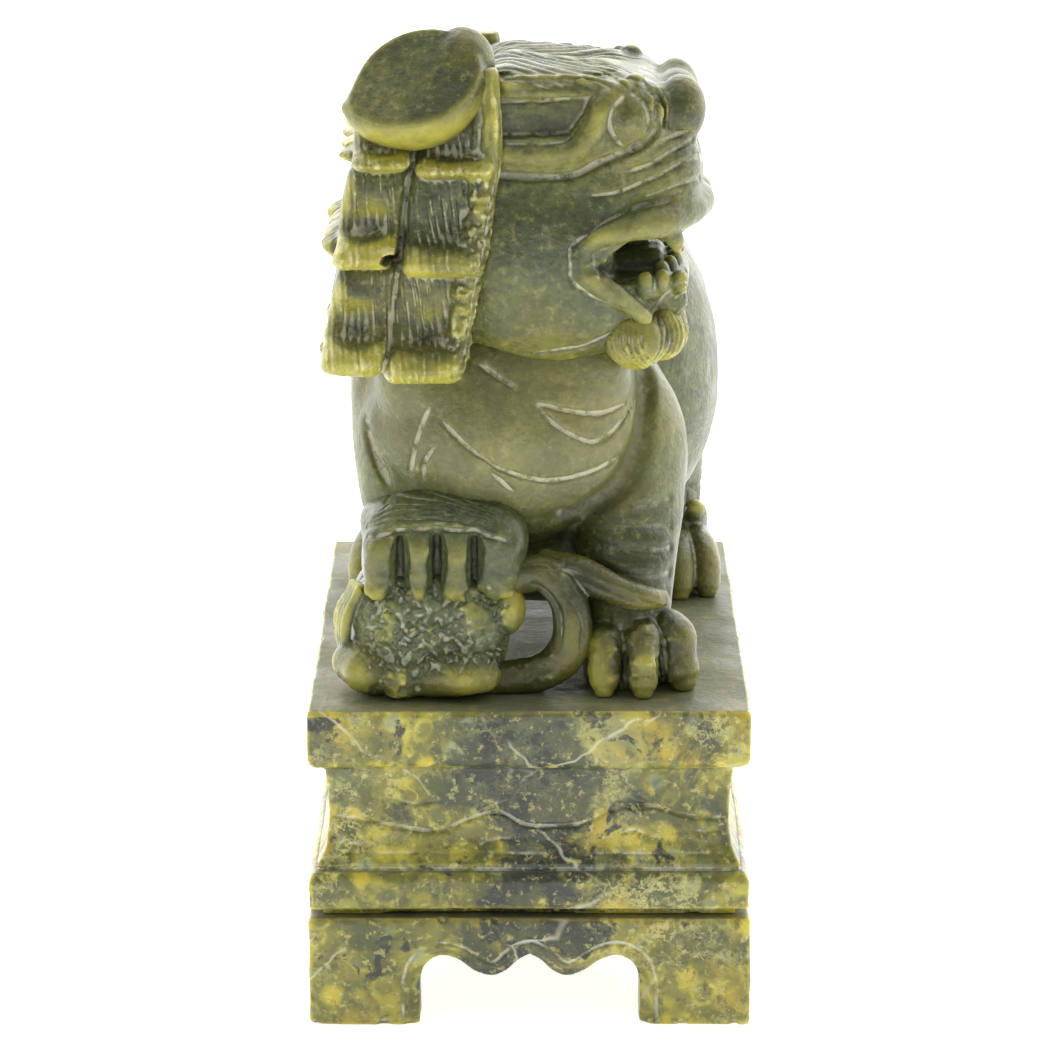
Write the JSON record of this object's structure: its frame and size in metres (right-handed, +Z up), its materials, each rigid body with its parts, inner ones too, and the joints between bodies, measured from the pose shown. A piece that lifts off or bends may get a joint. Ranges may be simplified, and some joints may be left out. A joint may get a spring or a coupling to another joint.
{
  "type": "foo dog statue",
  "caption": "Carved stone guardian lion holding a cub under its forepaw, on a moulded plinth and a stand with bracket feet.",
  "frame": {"origin": "centre of the stand's underside, on the surface the statue stands on", "axes": "+Z up; the lion's body lies along Y with its chest towards -Y, and its head is turned to look along +X"},
  "size_m": [0.0808, 0.1188, 0.18],
  "materials": {
    "lion_stone": "satin",
    "pedestal_stone": "satin",
    "brass": "satin"
  },
  "bodies": {
    "stand": {"stand": "pedestal_stone", "stand_dowels": "brass"},
    "plinth": {"plinth": "pedestal_stone"},
    "lion": {"lion": "lion_stone", "lion_dowels": "brass"}
  },
  "joints": [
    {"name": "plinth_lift", "type": "slide", "parent": "stand", "child": "plinth", "axis": [0, 0, 1], "range_m": [0, 0.03]},
    {"name": "lion_lift", "type": "slide", "parent": "plinth", "child": "lion", "axis": [0, 0, 1], "range_m": [0, 0.03]}
  ]
}
